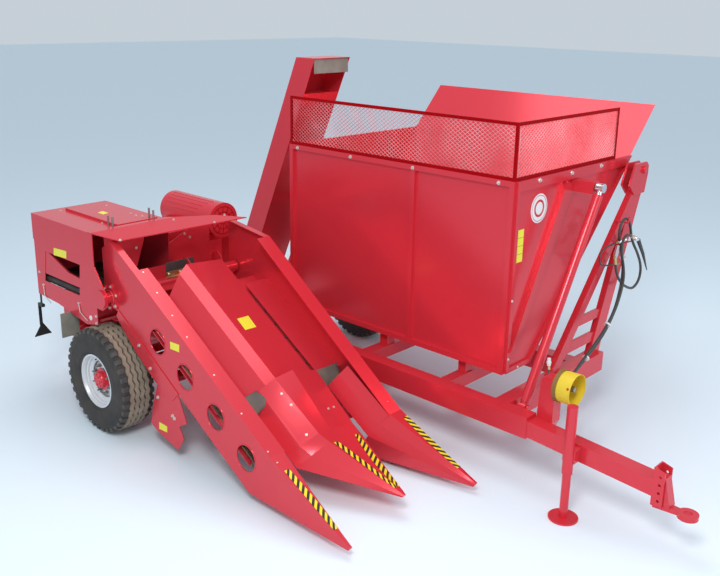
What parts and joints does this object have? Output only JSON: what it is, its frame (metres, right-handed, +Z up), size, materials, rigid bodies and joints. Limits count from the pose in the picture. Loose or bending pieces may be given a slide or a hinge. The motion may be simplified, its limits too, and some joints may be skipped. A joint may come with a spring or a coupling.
{
  "type": "corn picker",
  "caption": "Trailed maize picker with a side-hung picking head, husking bed, elevator and a side-tipping bunker on a ladder frame with parking jack.",
  "frame": {"origin": "middle of the machine's box, on the ground", "axes": "+X forward to the hitch, +Y to the left side, +Z up"},
  "size_m": [5.131, 3.922, 2.815],
  "materials": {
    "red_paint": "gloss",
    "rim_paint": "satin",
    "tyre": "matte",
    "dark_rubber": "matte",
    "yellow_plastic": "satin",
    "bright_rod": "polished",
    "worn_steel": "worn"
  },
  "bodies": {
    "frame": {"axle": "red_paint", "ladder_frame": "red_paint", "drawbar": "red_paint", "hitch_eye": "red_paint", "tipping_stands": "red_paint", "head_trunnions": "red_paint", "bed_frame": "red_paint", "husking_box": "red_paint", "husking_cover": "red_paint", "husking_rolls": "dark_rubber", "fan": "red_paint", "cross_conveyor": "red_paint", "elevator": "red_paint", "rubber_flaps": "dark_rubber", "reflector": "dark_rubber", "drive_train": "red_paint", "pto_cup": "yellow_plastic"},
    "wheel_right": {"tyre_right": "tyre", "rim_right": "rim_paint"},
    "wheel_left": {"tyre_left": "tyre", "rim_left": "rim_paint"},
    "jack": {"jack_leg": "red_paint"},
    "bunker": {"bunker_shell": "red_paint", "bunker_frame": "red_paint", "bunker_mesh": "red_paint", "tipping_tube": "red_paint"},
    "barrel_front": {"ram_barrel_front": "red_paint"},
    "barrel_rear": {"ram_barrel_rear": "red_paint"},
    "rod_front": {"ram_rod_front": "bright_rod"},
    "rod_rear": {"ram_rod_rear": "bright_rod"},
    "head": {"head_walls": "red_paint", "head_covers": "red_paint", "head_noses": "red_paint", "row_frame": "red_paint", "gathering_chains": "worn_steel", "auger_trough": "red_paint"},
    "auger": {"cross_auger": "red_paint"},
    "roll_right_outer": {"roll_right_outer": "worn_steel"},
    "roll_right_inner": {"roll_right_inner": "worn_steel"},
    "roll_left_outer": {"roll_left_outer": "worn_steel"},
    "roll_left_inner": {"roll_left_inner": "worn_steel"},
    "lift_barrel": {"lift_barrel": "red_paint"},
    "lift_rod": {"lift_rod": "bright_rod"},
    "lid": {"husking_lid": "red_paint"},
    "pto": {"pto_shaft": "worn_steel"}
  },
  "joints": [
    {"name": "wheel_right_spin", "type": "hinge", "parent": "frame", "child": "wheel_right", "pos_m": [-1.5415, -1.816, 0.4225], "axis": [0, 1, 0], "continuous": true},
    {"name": "wheel_left_spin", "type": "hinge", "parent": "frame", "child": "wheel_left", "pos_m": [-1.5415, 1.111, 0.4225], "axis": [0, 1, 0], "continuous": true},
    {"name": "jack_slide", "type": "slide", "parent": "frame", "child": "jack", "axis": [0, 0, 1], "range_m": [0, 0.3]},
    {"name": "tip", "type": "hinge", "parent": "frame", "child": "bunker", "pos_m": [-0.1755, 1.561, 2.02], "axis": [-1, 0, 0], "range_deg": [0, 85]},
    {"name": "head_lift", "type": "hinge", "parent": "frame", "child": "head", "pos_m": [-1.4915, -1.179, 1.09], "axis": [0, -1, 0], "range_deg": [-1, 10]},
    {"name": "auger_spin", "type": "hinge", "parent": "head", "child": "auger", "pos_m": [-1.4915, -1.179, 1.09], "axis": [0, 1, 0], "continuous": true},
    {"name": "lid_hinge", "type": "hinge", "parent": "frame", "child": "lid", "pos_m": [-2.0215, -1.24, 1.604], "axis": [-1, 0, 0], "range_deg": [0, 100]},
    {"name": "pto_spin", "type": "hinge", "parent": "frame", "child": "pto", "pos_m": [1.4585, -0.189, 0.807], "axis": [1, 0, 0], "continuous": true},
    {"name": "roll_right_outer_spin", "type": "hinge", "parent": "head", "child": "roll_right_outer", "pos_m": [-1.07539, -1.577, 0.95177], "axis": [0.8489, 0, -0.5285], "continuous": true},
    {"name": "roll_right_inner_spin", "type": "hinge", "parent": "head", "child": "roll_right_inner", "pos_m": [-1.07539, -1.481, 0.95177], "axis": [0.8489, 0, -0.5285], "continuous": true},
    {"name": "roll_left_outer_spin", "type": "hinge", "parent": "head", "child": "roll_left_outer", "pos_m": [-1.07539, -0.781, 0.95177], "axis": [0.8489, 0, -0.5285], "continuous": true},
    {"name": "roll_left_inner_spin", "type": "hinge", "parent": "head", "child": "roll_left_inner", "pos_m": [-1.07539, -0.877, 0.95177], "axis": [0.8489, 0, -0.5285], "continuous": true},
    {"name": "barrel_front_swing", "type": "hinge", "parent": "frame", "child": "barrel_front", "pos_m": [1.1895, -0.139, 0.52], "axis": [1, 0, 0], "range_deg": [-3, 0.5]},
    {"name": "rod_front_slide", "type": "slide", "parent": "barrel_front", "child": "rod_front", "axis": [0, 0.498, 0.8672], "range_m": [0, 1.15]},
    {"name": "barrel_rear_swing", "type": "hinge", "parent": "frame", "child": "barrel_rear", "pos_m": [-1.5405, -0.139, 0.52], "axis": [1, 0, 0], "range_deg": [-3, 0.5]},
    {"name": "rod_rear_slide", "type": "slide", "parent": "barrel_rear", "child": "rod_rear", "axis": [0, 0.498, 0.8672], "range_m": [0, 1.15]},
    {"name": "lift_barrel_swing", "type": "hinge", "parent": "frame", "child": "lift_barrel", "pos_m": [-1.4465, -1.179, 0.42], "axis": [0, -1, 0], "range_deg": [-2, 9]},
    {"name": "lift_rod_slide", "type": "slide", "parent": "lift_barrel", "child": "lift_rod", "axis": [0.9681, 0, 0.2506], "range_m": [-0.02, 0.12]}
  ],
  "couplings": [
    {"joint": "roll_right_inner_spin", "follows": "roll_right_outer_spin", "ratio": -1},
    {"joint": "roll_left_inner_spin", "follows": "roll_left_outer_spin", "ratio": -1},
    {"joint": "barrel_front_swing", "follows": "tip", "ratio": -0.01993},
    {"joint": "rod_front_slide", "follows": "tip", "m_per_rad": 0.76542},
    {"joint": "barrel_rear_swing", "follows": "tip", "ratio": -0.01993},
    {"joint": "rod_rear_slide", "follows": "tip", "m_per_rad": 0.76542},
    {"joint": "lift_barrel_swing", "follows": "head_lift", "ratio": 0.76958},
    {"joint": "lift_rod_slide", "follows": "head_lift", "m_per_rad": 0.64937}
  ]
}
